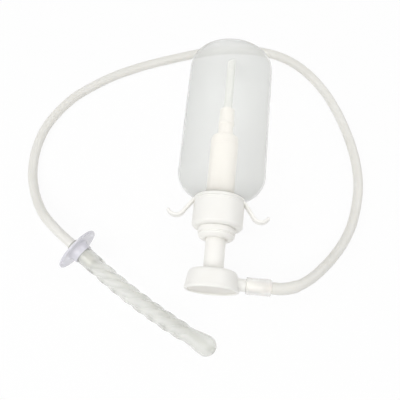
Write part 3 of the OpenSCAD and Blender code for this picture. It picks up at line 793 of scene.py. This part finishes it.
def makeStem(s):
    # Hollow shaft with a ball chamber at its foot
    outline = outlineOf([
        (s["chamber"], s["foot"], 0.2), (s["radius"], s["foot"], 0.4), (s["radius"], s["top"], 0.3),
        (s["bore"], s["top"], 0.2), (s["bore"], s["chamberTop"], 0.2),
        (s["chamber"], s["chamberTop"], 0.2)])
    piece = addPiece("stem_shaft", [turnedPart(outline, laid, 128)], finishes["whiteMoulding"])
    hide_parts("stem")
    return finish(piece, "plunger")


makeStem(stem)
print("housing, collar and stem made")

# Push head with its spout, nipple and end disc
headLow, headHigh = heightsOf("push_head")
head = {
    "rim": 17.6,
    "flare": 2,
    "round": 2.2,
    "wall": 1.8,
    "bottom": headLow,
    "top": headHigh,
    "discThick": 1.5,
    "recess": 0.6,
    "stemHole": 6.7,
    "hub": 9.05,
    "spoutHeight": spoutHeight,
    "spoutRoot": 12,
    "spoutRadius": 4,
    "spoutReach": 21.4,
    "nippleRadius": 3,
    "nippleLength": 12,
    "bore": 1.6,
    "slant": 30,
}


def alongSpout(points):
    # A piece drawn along its height, turned to run from the head's axis along the spout
    x, y, height = (points[..., k] for k in range(3))
    return laid(pointsOf(height, y, head["spoutHeight"] - x))


def makeHead(s):
    # Flared cup with a rim line, open at the end disc; the spout is a second turned piece with a
    # soft root, and its nipple's end is cut at a slant: length = end + (lift - radius) tan(slant)
    low = s["rim"] - s["flare"]
    ledge = s["top"] - s["recess"] - s["discThick"] - 0.1
    cup = outlineOf([
        (s["stemHole"], s["bottom"], 0.3), (low, s["bottom"], s["round"] * 1.35),
        (s["rim"] - 0.28, s["top"] - 2.7, 0.1), (s["rim"] - 0.32, s["top"] - 2.45, 0.1),
        (s["rim"], s["top"] - 2.15, 0.25), (s["rim"], s["top"], 0.8),
        (s["rim"] - s["wall"], s["top"], 0.45), (s["rim"] - s["wall"], ledge, 0.1),
        (s["rim"] - s["wall"] - 0.9, ledge, 0.1),
        (low - s["wall"] - 0.9, s["bottom"] + s["wall"], 0.6),
        (s["hub"], s["bottom"] + s["wall"], 0.4), (s["hub"], ledge - 0.4, 0.2),
        (s["stemHole"], ledge - 0.4, 0.2)], steps=9)
    root = s["spoutRoot"]
    end = s["spoutReach"] + s["nippleLength"]
    spout = outlineOf([
        (s["bore"], root, 0.1), (s["spoutRadius"] - 0.2, root, 0.1),
        (s["spoutRadius"] + 0.9, root + 3.6, 0.8), (s["spoutRadius"], root + 5.9, 1.4),
        (s["spoutRadius"], s["spoutReach"], 0.45), (s["nippleRadius"], s["spoutReach"], 0.1),
        (s["nippleRadius"], end - 4, 0.1), (s["nippleRadius"], end, 0.3),
        (s["bore"], end, 0.3), (s["bore"], end - 5, 0.1)], steps=6)
    points = turnedPoints(spout, evenAngles(96))
    lift = -points[..., 0]
    limit = end + (lift - s["nippleRadius"]) * math.tan(math.radians(s["slant"]))
    points[..., 2] = np.minimum(points[..., 2], limit)
    parts = [turnedPart(cup, laid, 192), surfacePart(alongSpout(points))]
    piece = addPiece("head_with_spout", parts, finishes["whiteMoulding"])
    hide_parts("push_head")
    finish(piece, "head")
    edge = s["rim"] - s["wall"] - 0.06
    face = s["top"] - s["recess"]
    steps = np.linspace(0, 1, 20)
    dish = pointsOf(edge * 0.86 * steps, face - 0.45 + 0.25 * steps ** 2)
    back = face - s["discThick"]
    border = outlineOf([(edge * 0.87, face - 0.2, 0.1), (edge * 0.9, face, 0.3), (edge, face, 0.3),
                        (edge, back, 0.2)])
    outline = np.concatenate([dish, border, [[edge * 0.5, back], [0, back]]])
    points = turnedPoints(outline, evenAngles(160))
    # The end disc takes the darker finish, painted shade on a face turned from the light
    disc = addPiece("head_face", [surfacePart(laid(points), closeRows=False)], finishes["headFacePaintedShade"])
    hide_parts("head_disc")
    return finish(disc, "head")


makeHead(head)

sleeve = {
    "radius": 5.5,
    "round": 1.9,
    "length": 16.2,
    "start": 21.5,
    "nippleEnd": 13,
    "barb": 2.15,
}


def makeSleeve(s):
    # Clear tube with soft ends: wide over the nipple, narrow over the barb
    a = s["start"]
    wide = head["nippleRadius"] + 0.05
    outline = outlineOf([
        (wide, a, 0.4), (s["radius"], a, s["round"]), (s["radius"] - 0.15, a + 5, 3),
        (s["radius"], a + 10, 3), (s["radius"], a + s["length"], s["round"]),
        (s["barb"], a + s["length"], 0.4), (s["barb"], a + s["nippleEnd"], 0.2),
        (wide, a + s["nippleEnd"], 0.2)], steps=9)
    piece = addPiece("clear_sleeve", [turnedPart(outline, alongSpout, 96)], finishes["clearSleeve"])
    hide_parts("hose_connector")
    return finish(piece, "head")


sleevePiece = makeSleeve(sleeve)
print("head and sleeve made")


# Nozzle: smooth root, four strands twisted about each other, and a bulb
def makeNozzle(s):
    # Radius at a height and an angle: root, then the edge of the nearest strand, which is
    # offset cos a + sqrt(strand^2 - (offset sin a)^2) and turns with the height, then a flare to
    # the bulb
    twistEnd = s["rootLength"] + s["twistLength"]
    bulbAt = twistEnd + s["flareLength"]
    rootEven = np.linspace(1, s["twistStart"] + s["rootBack"] - 0.5, 18)
    rootRows = np.concatenate([[0.1, 0.3, 0.6], rootEven]) - s["rootBack"]
    twistRows = np.linspace(s["twistStart"], twistEnd + s["twistPast"], 260)
    flareRows = np.linspace(twistEnd + s["twistPast"] + 0.5, bulbAt, 24)
    height = np.concatenate([rootRows, twistRows, flareRows])
    angles = evenAngles(192)
    share = 2 * np.pi / s["strands"]
    turn = angles[None, :] + 2 * np.pi * (height[:, None] - s["rootLength"]) / s["twistPitch"]
    fromStrand = np.mod(turn, share) - share / 2
    strand = (s["strandOffset"] * np.cos(fromStrand)
              + np.sqrt(s["strandRadius"] ** 2 - (s["strandOffset"] * np.sin(fromStrand)) ** 2))
    intoTwist = np.clip((height - s["twistStart"]) / s["twistFade"], 0, 1)
    outOfTwist = np.clip((twistEnd + s["twistPast"] - height) / s["twistFade"], 0, 1)
    weight = softStep(intoTwist) * softStep(outOfTwist)
    flare = np.clip((height - twistEnd) / s["flareLength"], 0, 1)
    taper = np.clip((height + s["rootBack"]) / (s["rootBack"] - 1.2), 0, 1)
    swell = (1 - np.cos(np.pi * flare)) / 2
    plain = np.where(height > s["rootLength"] + s["twistLength"] / 2,
                     s["waistRadius"] + (s["bulbRadius"] - s["waistRadius"]) * swell,
                     s["rootEnd"] + (s["rootRadius"] - s["rootEnd"]) * taper)
    radius = plain[:, None] * (1 - weight[:, None]) + strand * weight[:, None]
    radius[0] -= 0.15
    body = pointsOf(radius * np.cos(angles), radius * np.sin(angles),
                    np.repeat(height[:, None], len(angles), axis=1))
    lastAngle = math.acos((s["bore"] + 0.25) / s["bulbRadius"])
    around = np.linspace(0, lastAngle, 20)[1:]
    bulb = pointsOf(s["bulbRadius"] * np.cos(around), bulbAt + s["bulbRadius"] * np.sin(around))
    bulbEnd = bulb[-1, 1]
    socketEnd = s["socket"] - s["rootBack"]
    socketRadius = hose["radius"] + 0.08
    bore = np.array([[s["bore"], bulbEnd - 0.1], [s["bore"], bulbAt], [s["bore"], socketEnd],
                     [socketRadius, socketEnd - 0.05], [socketRadius, 0.4 - s["rootBack"]],
                     [hose["radius"] + 0.3, -s["rootBack"]], [s["rootEnd"] - 0.35, -s["rootBack"]]])
    points = np.concatenate([body, turnedPoints(np.concatenate([bulb, bore]), angles)])
    parts = [surfacePart(alongNozzle(bowed(points)))]
    piece = addPiece("twisted_nozzle", parts, finishes["nozzlePlastic"], 50)
    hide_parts("nozzle")
    return finish(piece, "pump_body")


makeNozzle(nozzle)


def makeGuard(s):
    # Disc with a rolled rim, and a hub that tapers towards the tip
    half = s["discThickness"] / 2
    hole = s["rootRadius"] + 0.06
    rim, hub = s["discRadius"], s["hubRadius"]
    outline = outlineOf([
        (hole, -half, 0.3), (rim - 2.4, -half, 0.3), (rim - 1.9, -half - 0.05, 0.3),
        (rim, -half, 0.75), (rim, half, 0.75), (rim - 1.9, half + 0.05, 0.3),
        (rim - 2.4, half - 0.15, 0.3), (hub + 1.2, half - 0.1, 0.8), (hub + 0.05, half + 0.9, 1.2),
        (hub - 0.4, half + s["hubLength"], 0.6), (hole, half + s["hubLength"], 0.3)], steps=9)
    guard = turnedPart(outline, alongNozzle, 160)
    piece = addPiece("guard_with_hub", [guard], finishes["discPlastic"])
    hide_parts("guard_disc")
    return finish(piece, "guard")


makeGuard(nozzle)
print("nozzle and guard made")

# Return spring, hidden in the barrel
springFoot, springTop = heightsOf("return_spring")
spring = {
    "radius": 5.4,
    "wire": 0.55,
    "curls": 8,
    "foot": springFoot,
    "top": springTop,
    "pressed": 18,
}


def makeSpring(s):
    # Round wire carried up a helix: (radius cos a, radius sin a, height rising evenly)
    steps = s["curls"] * 40
    along = np.linspace(0, 1, steps + 1)
    angle = 2 * np.pi * s["curls"] * along
    low = s["foot"] + s["wire"]
    high = s["top"] - s["wire"]
    path = pointsOf(s["radius"] * np.cos(angle), s["radius"] * np.sin(angle),
                    low + (high - low) * along)
    circle = circleOf(evenAngles(12)) * s["wire"]
    rings = sweptRings(path, np.repeat(circle[None], len(path), axis=0), (0, 0, 1))
    piece = addPiece("spring_wire", [cappedTube(laid(rings))], finishes["steel"], 60)
    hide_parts("return_spring")
    finish(piece, "pump_body")
    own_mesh(piece)


makeSpring(spring)

# Inner pieces keep their shape and take their own finish
innerFinish = {
    "neck_gasket": "foam",
    "valve_cage": "pumpMoulding",
    "inlet_ball": "steel",
    "dip_tube": "dipTube",
    "piston": "pumpMoulding",
    "piston_rod": "pumpMoulding",
    "outlet_ball": "steel",
    "connector_barb": "pumpMoulding",
}
for node, name in innerFinish.items():
    piece = frame["nodes"][node]
    piece.data.materials.clear()
    piece.data.materials.append(finishes[name])
print("inner pieces finished")

# Studio: a pale floor that the camera sees as white, and soft light from above and both sides
studio = {
    "floorSize": 3.0,
    "floorDrop": 0.0002,
    "floorColour": (0.9, 0.9, 0.9, 1),
    "floorWhite": 0.92,
    "worldLight": 0.5,
    "lamps": [
        {"spot": (-0.55, -0.35, 0.9), "size": 0.8, "power": 4.6},
        {"spot": (0.6, 0.5, 0.8), "size": 0.7, "power": 2.2},
        {"spot": (0.05, -0.5, 1.0), "size": 0.5, "power": 2.0},
    ],
}


def seenWhite(tree, whiteShare):
    # 1 for rays that the camera, a gloss or a clear piece sends, times the share of white they see
    rays = tree.nodes.new("ShaderNodeLightPath")
    seen = mathOf(tree, "MAXIMUM", rays.outputs["Is Camera Ray"], rays.outputs["Is Glossy Ray"])
    seen = mathOf(tree, "MAXIMUM", seen, rays.outputs["Is Transmission Ray"])
    return mathOf(tree, "MULTIPLY", seen, whiteShare)


def makeStudio(s):
    world = bpy.data.worlds.new("studio")
    scene.world = world
    world.use_nodes = True
    tree = world.node_tree
    light = tree.nodes["Background"]
    setInputs(light, {"Color": (1, 1, 1, 1), "Strength": s["worldLight"]})
    seen = tree.nodes.new("ShaderNodeBackground")
    setInputs(seen, {"Color": (1, 1, 1, 1), "Strength": 1})
    mixInto(tree, seenWhite(tree, 1), light, seen, "World Output")
    material = bpy.data.materials.new("floor")
    material.use_nodes = True
    tree = material.node_tree
    plain = tree.nodes["Principled BSDF"]
    setInputs(plain, {"Base Color": s["floorColour"], "Roughness": 0.9})
    glow = tree.nodes.new("ShaderNodeEmission")
    glow.inputs["Strength"].default_value = 1
    mixInto(tree, seenWhite(tree, s["floorWhite"]), plain, glow, "Material Output")
    half = s["floorSize"] / 2
    corners = np.array([[[-half, -half, 0], [half, -half, 0]], [[-half, half, 0], [half, half, 0]]])
    corners[..., 2] = -s["floorDrop"]
    floor = addPiece("floor", [surfacePart(corners, False, False)], material)
    for lamp in s["lamps"]:
        data = bpy.data.lights.new("lamp", "AREA")
        data.size = lamp["size"]
        data.energy = lamp["power"]
        piece = bpy.data.objects.new("lamp", data)
        scene.collection.objects.link(piece)
        piece.location = lamp["spot"]
        piece.rotation_mode = "QUATERNION"
        piece.rotation_quaternion = (-Vector(lamp["spot"])).to_track_quat("-Z", "Y")


makeStudio(studio)
scene.view_settings.view_transform = "Standard"
print("studio made")
